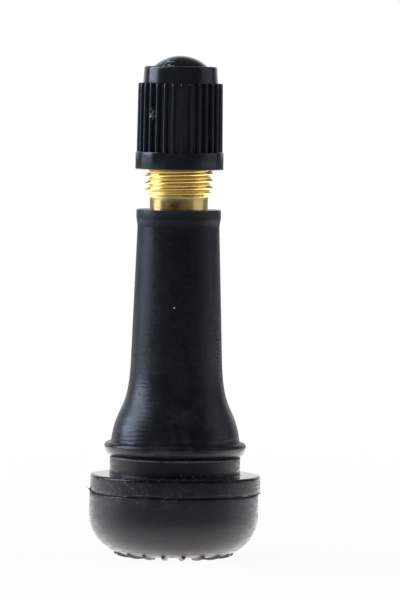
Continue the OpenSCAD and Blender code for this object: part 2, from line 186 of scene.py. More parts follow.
floor_mesh = bpy.data.meshes.new("floor")
corners = [(-1, -1, 0), (1, -1, 0), (1, 1, 0), (-1, 1, 0)]
floor_mesh.from_pydata([Vector(c) * FLOOR_HALF for c in corners], [], [(0, 1, 2, 3)])
floor = bpy.data.objects.new("floor", floor_mesh)
bpy.context.scene.collection.objects.link(floor)

material, tree = new_material("white_paper")
seen, mirrored = ray_kinds(tree)
place = add_node(tree, "TexCoord").outputs["Object"]
# The camera sees the paper's shadow near the valve, and plain white far from it
away = add_node(tree, "VectorMath", {"operation": "LENGTH"}, {0: place}).outputs["Value"]
shown = add_node(tree, "MapRange", {"From Max": SHADOW_REACH, "To Min": NEAR_WHITE},
                 {"Value": away}).outputs["Result"]
shown = add_node(tree, "Math", {"operation": "MULTIPLY"}, {0: shown, 1: seen}).outputs[0]
# Painted glow: mirrored rays see the paper round the valve's foot glow brighter than white, and grey paper
# further away
off = add_node(tree, "VectorMath", {"operation": "DISTANCE", 1: PATCH_MIDDLE}, {0: place}).outputs["Value"]
near = add_node(tree, "MapRange", {"interpolation_type": "SMOOTHSTEP", "From Min": PATCH_END,
                                   "From Max": PATCH_FULL}, {"Value": off}).outputs["Result"]
glossy_white = add_node(tree, "Math", {"operation": "MULTIPLY"}, {0: near, 1: mirrored}).outputs[0]
share = add_node(tree, "Math", {"operation": "MAXIMUM"}, {0: shown, 1: glossy_white}).outputs[0]
grey = add_node(tree, "Mix", {"data_type": "RGBA", 6: linear("#f4f4f2"), 7: linear("#c4c4c4")},
                {0: mirrored}).outputs[2]
paper = add_node(tree, "BsdfDiffuse", None, {"Color": grey})
# The painted glow is dimmer in front of the valve than behind it
depth = add_node(tree, "SeparateXYZ", None, {0: place}).outputs["Y"]
bright = add_node(tree, "MapRange", {"From Min": FRONT_UP_TO, "From Max": BRIGHT_FROM,
                                     "To Min": PATCH_FRONT, "To Max": PATCH_BRIGHT},
                  {"Value": depth}).outputs["Result"]
bright = add_node(tree, "Mix", {2: 1.0}, {0: mirrored, 3: bright}).outputs[0]
glow = add_node(tree, "Emission", {"Color": linear("#ffffff")}, {"Strength": bright})
mix = add_node(tree, "MixShader", None, {0: share, 1: paper.outputs[0], 2: glow.outputs[0]})
add_node(tree, "OutputMaterial", None, {"Surface": mix.outputs[0]})
floor_mesh.materials.append(material)
print("Floor of", 2 * FLOOR_HALF, "m")

# %% World
ROOM_SIDES = 0.12
ROOM_TOP = 0.12
ROOM_DIFFUSE = 0.35
TOP_EDGE = 0.35
TOP_FULL = 0.75
SWEEP_MIDDLE = (-0.04, 1, 0)
SWEEP_BRIGHT = 1.1
SWEEP_EDGE = 0.6
SWEEP_FULL = 0.97

world = bpy.data.worlds.new("studio")
bpy.context.scene.world = world
world.use_nodes = True
tree = world.node_tree
tree.nodes.clear()
seen, mirrored = ray_kinds(tree)
direction = add_node(tree, "TexCoord").outputs["Generated"]
behind = add_node(tree, "VectorMath", {"operation": "DOT_PRODUCT", 1: SWEEP_MIDDLE},
                  {0: direction}).outputs["Value"]
sweep = add_node(tree, "MapRange", {"interpolation_type": "SMOOTHSTEP", "From Min": SWEEP_EDGE,
                                    "From Max": SWEEP_FULL, "To Min": ROOM_SIDES, "To Max": SWEEP_BRIGHT},
                 {"Value": behind}).outputs["Result"]
up = add_node(tree, "SeparateXYZ", None, {0: direction}).outputs["Z"]
overhead = add_node(tree, "MapRange", {"interpolation_type": "SMOOTHSTEP", "From Min": TOP_EDGE,
                                       "From Max": TOP_FULL}, {"Value": up}).outputs["Result"]
sweep = add_node(tree, "Mix", {3: ROOM_TOP}, {0: overhead, 2: sweep}).outputs[0]
lit = add_node(tree, "Mix", {2: ROOM_DIFFUSE}, {0: mirrored, 3: sweep}).outputs[0]
shown = add_node(tree, "Mix", {3: 1.0}, {0: seen, 2: lit}).outputs[0]
background = add_node(tree, "Background", {"Color": linear("#ffffff")}, {"Strength": shown})
add_node(tree, "OutputWorld", None, {"Surface": background.outputs[0]})
print("World from", ROOM_SIDES, "at the sides to", SWEEP_BRIGHT, "behind")

# %% Flag in front
FLAG_DISTANCE = 200
FLAG_LEFT = -140
FLAG_RIGHT = 160
FLAG_FOOT = 0.5
FLAG_HEIGHT = 420

flag_mesh = bpy.data.meshes.new("dark_flag")
corners = [(FLAG_LEFT, FLAG_FOOT), (FLAG_RIGHT, FLAG_FOOT), (FLAG_RIGHT, FLAG_HEIGHT),
           (FLAG_LEFT, FLAG_HEIGHT)]
flag_mesh.from_pydata([Vector((x, -FLAG_DISTANCE, z)) * MM for x, z in corners], [], [(0, 1, 2, 3)])
flag = bpy.data.objects.new("dark_flag", flag_mesh)
bpy.context.scene.collection.objects.link(flag)
flag.visible_camera = False
flag.visible_shadow = False
material, tree = new_material("dark_felt")
felt = add_node(tree, "BsdfDiffuse", {"Color": linear("#7c7c7c")})
add_node(tree, "OutputMaterial", None, {"Surface": felt.outputs[0]})
flag_mesh.materials.append(material)
print("Flag of", FLAG_RIGHT - FLAG_LEFT, "mm")

# %% Lamps
def softbox(name, place, size, radiance, colour):
    """A rectangular lamp that faces the middle of the valve, hidden from the camera."""
    lamp = bpy.data.lights.new(name, "AREA")
    lamp.shape = "RECTANGLE"
    lamp.size = size[0] * MM
    lamp.size_y = size[1] * MM
    lamp.energy = radiance * math.pi * lamp.size * lamp.size_y
    lamp.color = linear(colour)[:3]
    box = bpy.data.objects.new(name, lamp)
    bpy.context.scene.collection.objects.link(box)
    box.location = Vector(place) * MM
    aim = Vector((0, 0, (cad_low.z + cad_high.z) / 2)) - box.location
    box.rotation_euler = aim.to_track_quat("-Z", "Y").to_euler()
    box.visible_camera = False
    return box


softbox("left_window", (-430, 50, 250), (320, 385), 6.0, "#d8e3fe")
softbox("left_pane", (-430, 50, 37), (320, 42), 1.5, "#d8e3fe")
softbox("right_card", (420, 20, 200), (380, 300), 0.53, "#dbe4fe")
softbox("right_sill", (420, -30, 22), (420, 42), 0.55, "#f2f0ff")

# %% [markdown]
# Moulded black rubber
#
# The body is rubber filled with carbon black, cured in a steel mould. It is not painted: its colour
# is a blue-black under a thin satin skin. The half that sits inside the wheel keeps a grey, dusty
# bloom, while the sleeve is handled and wiped darker, and its flare is rubbed to a gloss. One shader
# could change with the height, but the dusty edge glow is a setting of the whole shader, so the two
# halves have a material each. One function makes both, and a second function adds each one's marks.

# %% Rubber
DULLING = 0.25


def moulded_rubber(name, colours, roughness, ior, sheen, marks):
    """Satin black rubber. The marks function adds what is special to one half of the body: it gives
    the colour, the relief, and what is duller, from -1 for smooth to 1."""
    material, tree = new_material(name)
    place = add_node(tree, "TexCoord").outputs["Object"]
    height = add_node(tree, "SeparateXYZ", None, {0: place}).outputs["Z"]
    # Cloudy patches a few millimetres wide, where the skin is more or less wiped
    cloud = add_node(tree, "TexNoise", {"Scale": per_mm(3), "Detail": 8, "Roughness": 0.75},
                     {"Vector": place}).outputs[0]
    cloud = add_node(tree, "MapRange", {"From Min": 0.3, "From Max": 0.7}, {"Value": cloud}).outputs[0]
    colour = add_node(tree, "Mix", {"data_type": "RGBA", 6: linear(colours[0]), 7: linear(colours[1])},
                      {0: cloud}).outputs[2]
    rough = add_node(tree, "MapRange", {"To Min": roughness[0], "To Max": roughness[1]},
                     {"Value": cloud}).outputs["Result"]
    colour, relief, dull = marks(tree, place, height, colour)
    rough = add_node(tree, "Math", {"operation": "MULTIPLY_ADD", 1: DULLING}, {0: dull, 2: rough}).outputs[0]
    # Grain of the mould's steel, about 0.15 mm
    grain = add_node(tree, "TexNoise", {"Scale": per_mm(0.15), "Detail": 3, "Roughness": 0.7},
                     {"Vector": place}).outputs[0]
    normal = add_node(tree, "Bump", {"Strength": 0.5, "Distance": 0.02 * MM}, {"Height": relief})
    normal = add_node(tree, "Bump", {"Strength": 0.4, "Distance": 0.01 * MM},
                      {"Height": grain, "Normal": normal.outputs[0]})
    shader = add_node(tree, "BsdfPrincipled",
                      {"IOR": ior, "Sheen Weight": sheen, "Sheen Roughness": 0.35},
                      {"Base Color": colour, "Roughness": rough, "Normal": normal.outputs[0]})
    add_node(tree, "OutputMaterial", None, {"Surface": shader.outputs[0]})
    return material


# %% Marks of the sleeve
rubber_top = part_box("rubber_body")[1].z / MM
RIM_PALE_REACH = 0.9
FLARE_LOW = 13.5
FLARE_HIGH = 22
SPECK = (-0.33, -4.98, 28.7)
SMUDGE = (1.2, -6.85, 16.4)
BLOOM_AND_HIGHLIGHT_SPOTS = ((-4.25, -4.0, 19.2), (-5.6, -4.1, 15.2))


def near_point(tree, place, point, inner, outer):
    """1 within the inner distance of a point, falling to 0 at the outer one, in millimetres."""
    apart = add_node(tree, "VectorMath", {"operation": "DISTANCE", 1: Vector(point) * MM},
                     {0: place}).outputs["Value"]
    return add_node(tree, "MapRange", {"From Min": outer * MM, "From Max": inner * MM},
                    {"Value": apart}).outputs["Result"]


def close_to(tree, value, level, reach):
    """1 where a value is at a level, falling to 0 at so much above and below it."""
    apart = add_node(tree, "Math", {"operation": "SUBTRACT", 1: level}, {0: value}).outputs[0]
    apart = add_node(tree, "Math", {"operation": "ABSOLUTE"}, {0: apart}).outputs[0]
    return add_node(tree, "MapRange", {"From Min": reach, "From Max": 0}, {"Value": apart}).outputs["Result"]


def mould_streaks(tree, place):
    """Fine streaks that run round the body, a quarter of a millimetre high."""
    drawn = add_node(tree, "Mapping", {"Scale": (per_mm(1.5), per_mm(1.5), per_mm(0.25))},
                     {"Vector": place}).outputs[0]
    return add_node(tree, "TexNoise", {"Scale": 1, "Detail": 4, "Roughness": 0.65},
                    {"Vector": drawn}).outputs[0]


def sleeve_marks(tree, place, height, colour):
    """Dust in specks, a paler rim, the rings and streaks that the mould left, and smudges on the rubbed
    flare, where two bloomed spots also carry a painted highlight."""
    low = add_node(tree, "MapRange", {"From Min": FLARE_HIGH * MM, "From Max": FLARE_LOW * MM},
                   {"Value": height}).outputs["Result"]
    smudge = add_node(tree, "TexNoise", {"Scale": per_mm(2), "Detail": 3}, {"Vector": place}).outputs[0]
    smudge = add_node(tree, "MapRange", {"From Min": 0.5, "From Max": 0.7, "To Max": 0.9},
                      {"Value": smudge}).outputs["Result"]
    smudge = add_node(tree, "Math", {"operation": "MULTIPLY"}, {0: smudge, 1: low}).outputs[0]
    touched = near_point(tree, place, SMUDGE, inner=0.2, outer=1.7)
    smudge = add_node(tree, "Math", {"operation": "MULTIPLY_ADD", 1: 0.6},
                      {0: touched, 2: smudge}).outputs[0]
    # The rim is drawn paler towards its top edge
    pale_rim = close_to(tree, height, rubber_top * MM, RIM_PALE_REACH * MM)
    pale_rim = add_node(tree, "Math", {"operation": "MULTIPLY", 1: 0.55}, {0: pale_rim}).outputs[0]
    # Specks in a few cells of a pattern, and one on the front of the sleeve
    cell = add_node(tree, "TexVoronoi", {"Scale": per_mm(2.4)}, {"Vector": place}).outputs
    dot = add_node(tree, "MapRange", {"From Min": 0.05, "From Max": 0.035},
                   {"Value": cell["Distance"]}).outputs["Result"]
    pick = add_node(tree, "SeparateColor", None, {0: cell["Color"]}).outputs[0]
    pick = add_node(tree, "Math", {"operation": "GREATER_THAN", 1: 0.95}, {0: pick}).outputs[0]
    dust = add_node(tree, "Math", {"operation": "MULTIPLY"}, {0: dot, 1: pick}).outputs[0]
    speck = near_point(tree, place, SPECK, inner=0.07, outer=0.12)
    dust = add_node(tree, "Math", {"operation": "MAXIMUM"}, {0: dust, 1: speck}).outputs[0]
    layers = [(smudge, "#31373c"), (pale_rim, "#3e4347"), (dust, "#c9cdd2")]
    streaks = mould_streaks(tree, place)
    streaky = add_node(tree, "MapRange", {"From Min": 0.4, "From Max": 0.6},
                       {"Value": streaks}).outputs["Result"]
    # Two spots on the flare's left are pale bloomed streaks and also a painted highlight of the window
    for point in BLOOM_AND_HIGHLIGHT_SPOTS:
        spot = near_point(tree, place, point, inner=0.3, outer=1.9)
        bloom_and_highlight = add_node(tree, "Math", {"operation": "MULTIPLY"}, {0: streaky, 1: spot}).outputs[0]
        layers.append((bloom_and_highlight, "#4e565e"))
    for share, tint in layers:
        colour = add_node(tree, "Mix", {"data_type": "RGBA", 7: linear(tint)},
                          {0: share, 6: colour}).outputs[2]
    # Rings round the flare, 0.5 mm apart, and fainter streaks all the way up
    rings = add_node(tree, "TexWave", {"bands_direction": "Z", "Scale": wave_per_mm(0.5),
                                       "Distortion": 6, "Detail": 3, "Detail Scale": 0.4},
                     {"Vector": place}).outputs["Fac"]
    rings = add_node(tree, "Math", {"operation": "MULTIPLY"}, {0: rings, 1: low}).outputs[0]
    relief = add_node(tree, "Math", {"operation": "MULTIPLY_ADD", 1: 0.35},
                      {0: rings, 2: streaks}).outputs[0]
    relief = add_node(tree, "Math", {"operation": "MULTIPLY", 1: 3.0}, {0: relief}).outputs[0]
    dull = add_node(tree, "MapRange", {"From Min": 0.35, "From Max": 0.65, "To Min": -0.4, "To Max": 0.5},
                    {"Value": streaks}).outputs["Result"]
    # The flare is handled most, so it is polished
    dull = add_node(tree, "Math", {"operation": "MULTIPLY_ADD", 1: -0.7}, {0: low, 2: dull}).outputs[0]
    dull = add_node(tree, "Math", {"operation": "MAXIMUM"}, {0: dull, 1: dust}).outputs[0]
    return colour, relief, dull


print("Flare from", FLARE_LOW, "to", FLARE_HIGH, "mm")


# %% Marks of the base
bulb_top = 7.35
disc_low = 7.45
disc_top = 9.45
neck_top = 11.48
seam_z = (bulb_top + disc_low) / 2
FLECK_HEIGHT = 9.22
SMOOTH_HEIGHT = 9.32
CUT_HEIGHT = 11.46
CHALK_AND_LIGHT_TOP = 4.2
CHALK_AND_LIGHT_FULL = 0.5
CORNER_TOP = 10.2
CORNER_FULL = 9.8
DARK_FROM = 9.12
DARK_FULL = 9.28
FLAKE = (-9.85, 0, 7.75)


def base_marks(tree, place, height, colour):
    """Pale torn hairs and flecks round the disc, the disc's smooth upper edge, the worn edge where the
    neck was cut free, painted shade above the seam and in the corner under the neck, and chalky dust with
    painted light from below on the underside."""
    torn = add_node(tree, "TexNoise", {"Scale": per_mm(0.5), "Detail": 1, "Distortion": 2.5},
                    {"Vector": place}).outputs[0]
    scarce = add_node(tree, "TexNoise", {"Scale": per_mm(1.6)}, {"Vector": place}).outputs[0]
    scarce = add_node(tree, "MapRange", {"From Min": 0.45, "From Max": 0.65, "To Max": 0.6},
                      {"Value": scarce}).outputs["Result"]
    hair = add_node(tree, "Math", {"operation": "MULTIPLY"},
                    {0: close_to(tree, torn, 0.5, 0.05), 1: scarce}).outputs[0]
    worn = add_node(tree, "MapRange", {"From Min": 0.3, "From Max": 0.5}, {"Value": torn}).outputs["Result"]
    fleck = add_node(tree, "TexNoise", {"Scale": per_mm(0.25), "Detail": 3, "Roughness": 0.7},
                     {"Vector": place}).outputs[0]
    fleck = add_node(tree, "MapRange", {"From Min": 0.54, "From Max": 0.62},
                     {"Value": fleck}).outputs["Result"]
    fleck = add_node(tree, "Math", {"operation": "MULTIPLY"}, {0: fleck, 1: scarce}).outputs[0]
    # Hairs stay near the seam, wear near the cut edge and flecks on the disc
    mark = near_point(tree, place, FLAKE, inner=0.3, outer=0.7)
    for pattern, level, reach in ((hair, seam_z, 1.5), (worn, CUT_HEIGHT, 0.2), (fleck, FLECK_HEIGHT, 1.2)):
        near = close_to(tree, height, level * MM, reach * MM)
        kept = add_node(tree, "Math", {"operation": "MULTIPLY"}, {0: pattern, 1: near}).outputs[0]
        mark = add_node(tree, "Math", {"operation": "MAXIMUM"}, {0: mark, 1: kept}).outputs[0]
    # Painted shade: the rubber above the seam is drawn darker than the bulb
    painted_shade_above_seam = add_node(tree, "Math", {"operation": "GREATER_THAN", 1: seam_z * MM}, {0: height}).outputs[0]
    painted_shade_above_seam = add_node(tree, "Math", {"operation": "MULTIPLY", 1: 0.75}, {0: painted_shade_above_seam}).outputs[0]
    # Chalky dust and painted light from the paper below make the underside paler
    chalk_and_underlight = add_node(tree, "MapRange", {"From Min": CHALK_AND_LIGHT_TOP * MM, "From Max": CHALK_AND_LIGHT_FULL * MM,
                                        "To Max": 0.85}, {"Value": height}).outputs["Result"]
    # Painted shade: the corner under the neck and the disc's upper edge are drawn nearly black
    corner = add_node(tree, "MapRange", {"From Min": CORNER_TOP * MM, "From Max": CORNER_FULL * MM},
                      {"Value": height}).outputs["Result"]
    dark = add_node(tree, "MapRange", {"From Min": DARK_FROM * MM, "From Max": DARK_FULL * MM},
                    {"Value": height}).outputs["Result"]
    dark = add_node(tree, "Math", {"operation": "MULTIPLY"}, {0: corner, 1: dark}).outputs[0]
    for share, tint in ((painted_shade_above_seam, "#050608"), (chalk_and_underlight, "#5c5652"), (dark, "#060607"), (mark, "#96928e")):
        colour = add_node(tree, "Mix", {"data_type": "RGBA", 7: linear(tint)},
                          {0: share, 6: colour}).outputs[2]
    # The disc's upper edge and its flat top are smooth, and the streaks are brushed over everything
    flat = add_node(tree, "Math", {"operation": "COMPARE", 1: disc_top * MM, 2: 0.004 * MM},
                    {0: height}).outputs[0]
    smooth = close_to(tree, height, SMOOTH_HEIGHT * MM, 0.3 * MM)
    smooth = add_node(tree, "Math", {"operation": "ADD"}, {0: smooth, 1: flat}).outputs[0]
    dull = add_node(tree, "Math", {"operation": "SUBTRACT"}, {0: mark, 1: smooth}).outputs[0]
    streaks = mould_streaks(tree, place)
    brushed = add_node(tree, "MapRange", {"From Min": 0.35, "From Max": 0.65, "To Min": -0.4, "To Max": 0.4},
                       {"Value": streaks}).outputs["Result"]
    dull = add_node(tree, "Math", {"operation": "ADD"}, {0: dull, 1: brushed}).outputs[0]
    relief = add_node(tree, "Math", {"operation": "MULTIPLY_ADD", 1: 1.4}, {0: streaks, 2: torn}).outputs[0]
    return colour, relief, dull


sleeve_rubber = moulded_rubber("wiped_black_rubber", ("#091115", "#10191e"), roughness=(0.22, 0.42),
                               ior=1.39, sheen=0.0, marks=sleeve_marks)
base_rubber = moulded_rubber("bloomed_black_rubber", ("#17181d", "#26272d"), roughness=(0.32, 0.44),
                             ior=1.35, sheen=0.03, marks=base_marks)
print("Materials:", sleeve_rubber.name, base_rubber.name)

# %% [markdown]
# Moulded black plastic
#
# The cap is polypropylene, pressed in a polished mould: smoother than the rubber, so it mirrors the
# window as a clear bar. Its colour is drawn paler deep between its ribs. Handling leaves scuffs on its
# crown and a nick on one rib. They are short bright scratches, so they are drawn by a stretched noise
# that only reaches those two places.

# %% Plastic
GROOVE_R = 4.34
GROOVE_TOP = 53.85
SCUFF_FROM = 55.6
SCUFF_FULL = 56.8
STRUCK_FROM = -0.4
STRUCK_FULL = -1.4
NICK = (-3.2, -3.6, 50.6)


def moulded_plastic():
    """Semi-gloss black polypropylene, paler deep between its ribs, with scuffs on its crown."""
    material, tree = new_material("moulded_black_polypropylene")
    place = add_node(tree, "TexCoord").outputs["Object"]
    axes = add_node(tree, "SeparateXYZ", None, {0: place}).outputs
    cloud = add_node(tree, "TexNoise", {"Scale": per_mm(2), "Detail": 4}, {"Vector": place}).outputs[0]
    grain = add_node(tree, "TexNoise", {"Scale": per_mm(0.12), "Detail": 2},
                     {"Vector": place}).outputs[0]
    colour = add_node(tree, "Mix", {"data_type": "RGBA", 6: linear("#0a1116"), 7: linear("#11191f")},
                      {0: cloud}).outputs[2]
    # The colour is paler deep between the ribs
    across = add_node(tree, "Mapping", {"Scale": (1, 1, 0)}, {"Vector": place}).outputs[0]
    radius = add_node(tree, "VectorMath", {"operation": "LENGTH"}, {0: across}).outputs["Value"]
    below = add_node(tree, "Math", {"operation": "LESS_THAN", 1: GROOVE_TOP * MM}, {0: axes["Z"]}).outputs[0]
    dust = add_node(tree, "Math", {"operation": "MULTIPLY"},
                    {0: below, 1: close_to(tree, radius, GROOVE_R * MM, 0.4 * MM)}).outputs[0]
    # Scuffs lie on one side of the crown and round the nick
    crown = add_node(tree, "MapRange", {"From Min": SCUFF_FROM * MM, "From Max": SCUFF_FULL * MM},
                     {"Value": axes["Z"]}).outputs["Result"]
    struck = add_node(tree, "MapRange", {"From Min": STRUCK_FROM * MM, "From Max": STRUCK_FULL * MM},
                      {"Value": axes["X"]}).outputs["Result"]
    crown = add_node(tree, "Math", {"operation": "MULTIPLY"}, {0: crown, 1: struck}).outputs[0]
    nick = near_point(tree, place, NICK, inner=0.2, outer=0.8)
    struck = add_node(tree, "Math", {"operation": "MAXIMUM"}, {0: crown, 1: nick}).outputs[0]
    drawn = add_node(tree, "Mapping", {"Rotation": (0, 0, 0.5),
                                       "Scale": (per_mm(0.5), per_mm(0.2), per_mm(0.2))},
                     {"Vector": place}).outputs[0]
    scuff = add_node(tree, "TexNoise", {"Scale": 1, "Detail": 4, "Roughness": 0.7},
                     {"Vector": drawn}).outputs[0]
    scuff = add_node(tree, "MapRange", {"From Min": 0.53, "From Max": 0.57, "To Max": 0.95},
                     {"Value": scuff}).outputs["Result"]
    scuff = add_node(tree, "Math", {"operation": "MULTIPLY"}, {0: scuff, 1: struck}).outputs[0]
    for share, tint in ((dust, "#2c3840"), (scuff, "#dfe3e7")):
        colour = add_node(tree, "Mix", {"data_type": "RGBA", 7: linear(tint)},
                          {0: share, 6: colour}).outputs[2]
    rough = add_node(tree, "MapRange", {"From Min": 0.3, "From Max": 0.7, "To Min": 0.13,
                                        "To Max": 0.25}, {"Value": cloud}).outputs["Result"]
    rough = add_node(tree, "Math", {"operation": "ADD"}, {0: rough, 1: scuff}).outputs[0]
    normal = add_node(tree, "Bump", {"Strength": 0.3, "Distance": 0.01 * MM},
                      {"Height": grain}).outputs[0]
    shader = add_node(tree, "BsdfPrincipled", {"IOR": 1.55},
                      {"Base Color": colour, "Roughness": rough, "Normal": normal})
    add_node(tree, "OutputMaterial", None, {"Surface": shader.outputs[0]})
    return material


plastic = moulded_plastic()
print("Material:", plastic.name)

# %% [markdown]
# Turned brass
#
# The stem is free-cutting brass, turned on a lathe and threaded. Brass is a metal, so its colour
# sits in its mirror image. The cutter leaves fine rings. The thread's grooves keep a dull, deeper gold
# where the crests are rubbed bright, so that tone follows the distance from the axis. Two brown spots
# on the front of the shank below the thread are a dried stain and also a painted dark reflection.

# %% Brass
STAIN_BLUR = 0.2


def turned_brass(name, bright, stained, groove_r, crest_r, stain_from, film_and_reflection_spots):
    """Turned brass. Above a height, what lies nearer the axis than the crests is stained. Each spot is
    the middle of a brown patch, in millimetres, which is a stain and a painted dark reflection."""
    material, tree = new_material(name)
    place = add_node(tree, "TexCoord").outputs["Object"]
    axes = add_node(tree, "SeparateXYZ", None, {0: place}).outputs
    across = add_node(tree, "Mapping", {"Scale": (1, 1, 0)}, {"Vector": place}).outputs[0]
    radius = add_node(tree, "VectorMath", {"operation": "LENGTH"}, {0: across}).outputs["Value"]
    groove = add_node(tree, "MapRange", {"From Min": crest_r * MM, "From Max": groove_r * MM},
                      {"Value": radius}).outputs["Result"]
    above = add_node(tree, "MapRange", {"From Min": (stain_from - STAIN_BLUR) * MM,
                                        "From Max": (stain_from + STAIN_BLUR) * MM},
                     {"Value": axes["Z"]}).outputs["Result"]
    cloud = add_node(tree, "TexNoise", {"Scale": per_mm(1.5), "Detail": 4, "Roughness": 0.65},
                     {"Vector": place}).outputs[0]
    patch = add_node(tree, "MapRange", {"From Min": 0.35, "From Max": 0.65, "To Min": 0.2},
                     {"Value": cloud}).outputs["Result"]
    stain = add_node(tree, "Math", {"operation": "MULTIPLY"}, {0: groove, 1: above}).outputs[0]
    stain = add_node(tree, "Math", {"operation": "MULTIPLY"}, {0: stain, 1: patch}).outputs[0]
    clean = add_node(tree, "Mix", {"data_type": "RGBA", 6: linear(bright[0]), 7: linear(bright[1])},
                     {0: cloud}).outputs[2]
    colour = add_node(tree, "Mix", {"data_type": "RGBA", 7: linear(stained)},
                      {0: stain, 6: clean}).outputs[2]
    # Brown patches that are a stain and a painted dark reflection
    for point in film_and_reflection_spots:
        spot = near_point(tree, place, point, inner=0.7, outer=1.9)
        film_and_reflection = add_node(tree, "Math", {"operation": "MULTIPLY"}, {0: spot, 1: patch}).outputs[0]
        colour = add_node(tree, "Mix", {"data_type": "RGBA", 7: linear("#33280f")},
                          {0: film_and_reflection, 6: colour}).outputs[2]
    rough = add_node(tree, "MapRange", {"To Min": 0.2, "To Max": 0.6}, {"Value": stain}).outputs["Result"]
    # Rings of the turning tool. The real feed is finer and would not show, so it is drawn at 0.12 mm
    rings = add_node(tree, "TexWave", {"bands_direction": "Z", "Scale": wave_per_mm(0.12),
                                       "Distortion": 1.5, "Detail": 1}, {"Vector": place}).outputs["Fac"]
    normal = add_node(tree, "Bump", {"Strength": 0.25, "Distance": 0.004 * MM},
                      {"Height": rings}).outputs[0]
    shader = add_node(tree, "BsdfPrincipled", {"Metallic": 1.0},
                      {"Base Color": colour, "Roughness": rough, "Normal": normal})
    add_node(tree, "OutputMaterial", None, {"Surface": shader.outputs[0]})
    return material


stem_brass = turned_brass("turned_brass", ("#fbd688", "#ffe69d"), "#ffdf80", groove_r=3.42, crest_r=3.66,
                          stain_from=41.0, film_and_reflection_spots=[(-0.9, -3.2, 39.6), (0.3, -3.3, 39.4)])
core_brass = turned_brass("bright_core_brass", ("#d9ba74", "#e6cd90"), "#a5813c", groove_r=0.5,
                          crest_r=0.9, stain_from=0, film_and_reflection_spots=[])
print("Materials:", stem_brass.name, core_brass.name)

# %% [markdown]
# Small materials of the core
#
# The washer and the cup's seal are matte moulded rubber, the conical ring is a red fluoropolymer,
# and the spring is drawn steel wire. They sit inside the stem, so a colour that drifts a little and
# a rough skin are all that they need.

# %% Seal, ring and wire
def mottled(name, colours, patch, roughness, metallic, bump):
    """A plain moulded or drawn surface whose colour and roughness drift from patch to patch."""
    material, tree = new_material(name)
    place = add_node(tree, "TexCoord").outputs["Object"]
    cloud = add_node(tree, "TexNoise", {"Scale": per_mm(patch), "Detail": 4}, {"Vector": place}).outputs[0]
    colour = add_node(tree, "Mix", {"data_type": "RGBA", 6: linear(colours[0]), 7: linear(colours[1])},
                      {0: cloud}).outputs[2]
    rough = add_node(tree, "MapRange", {"To Min": roughness[0], "To Max": roughness[1]},
                     {"Value": cloud}).outputs["Result"]
    normal = add_node(tree, "Bump", {"Strength": 0.3, "Distance": bump * MM}, {"Height": cloud}).outputs[0]
    shader = add_node(tree, "BsdfPrincipled", {"Metallic": metallic},
                      {"Base Color": colour, "Roughness": rough, "Normal": normal})
    add_node(tree, "OutputMaterial", None, {"Surface": shader.outputs[0]})
    return material


seal_rubber = mottled("matte_seal_rubber", ("#1d1d1c", "#2d2d2b"), patch=0.3, roughness=(0.6, 0.8),
                      metallic=0.0, bump=0.01)
ring_polymer = mottled("red_fluoropolymer", ("#7c2a22", "#97382c"), patch=0.3, roughness=(0.45, 0.6),
                       metallic=0.0, bump=0.006)
spring_wire = mottled("drawn_spring_steel", ("#a9abad", "#c2c3c4"), patch=0.2, roughness=(0.22, 0.38),
                      metallic=1.0, bump=0.003)
print("Materials:", seal_rubber.name, ring_polymer.name, spring_wire.name)

# %% [markdown]
# Turning a profile
#
# Nearly every piece of a valve is turned or moulded round one axis. A screw modifier would spin a
# profile, but the ribs, the thread and the torn flash change along the circle. So each profile is
# laid out as a grid of points, row by row and column by column, and the rows that need it are moved
# before the grid becomes a mesh.

# %% Profile and grid helpers
TINY = 1e-7


def oval(centre, w, h, start, end, steps):
    """Points of an oval's arc in the profile, as radius and height."""
    turn = np.radians(np.linspace(start, end, steps + 1))
    return [(centre[0] + w * math.cos(a), centre[1] + h * math.sin(a)) for a in turn]


def arc(centre, r, start, end, steps):
    """Points of a round arc in the profile."""
    return oval(centre, r, r, start, end, steps)


def line(start, end, steps):
    """Evenly spaced points from start to just before end."""
    along = np.linspace(0, 1, steps, endpoint=False)
    return [(start[0] + (end[0] - start[0]) * t, start[1] + (end[1] - start[1]) * t) for t in along]


def curve(p, q, r, s, steps):
    """Points of a cubic curve from p to s, with its handles at q and r."""
    p, q, r, s = (np.array(v) for v in (p, q, r, s))
    t = np.linspace(0, 1, steps + 1)[:, None]
    points = (1 - t) ** 3 * p + 3 * t * (1 - t) ** 2 * q + 3 * t * t * (1 - t) * r + t ** 3 * s
    return [tuple(v) for v in points]


def even_angles(columns):
    """Angles of evenly spaced columns round the axis."""
    return np.linspace(0, 2 * math.pi, columns, endpoint=False)


def spread(outline, angles):
    """Radius and height grids, with a row for each point of the outline."""
    points = np.array(outline)
    shape = (len(outline), len(angles))
    return np.broadcast_to(points[:, :1], shape).copy(), np.broadcast_to(points[:, 1:], shape).copy()


def smooth_step(low, high, value):
    """0 below low, 1 above high, and a smooth rise between."""
    t = np.clip((value - low) / (high - low), 0, 1)
    return t * t * (3 - 2 * t)


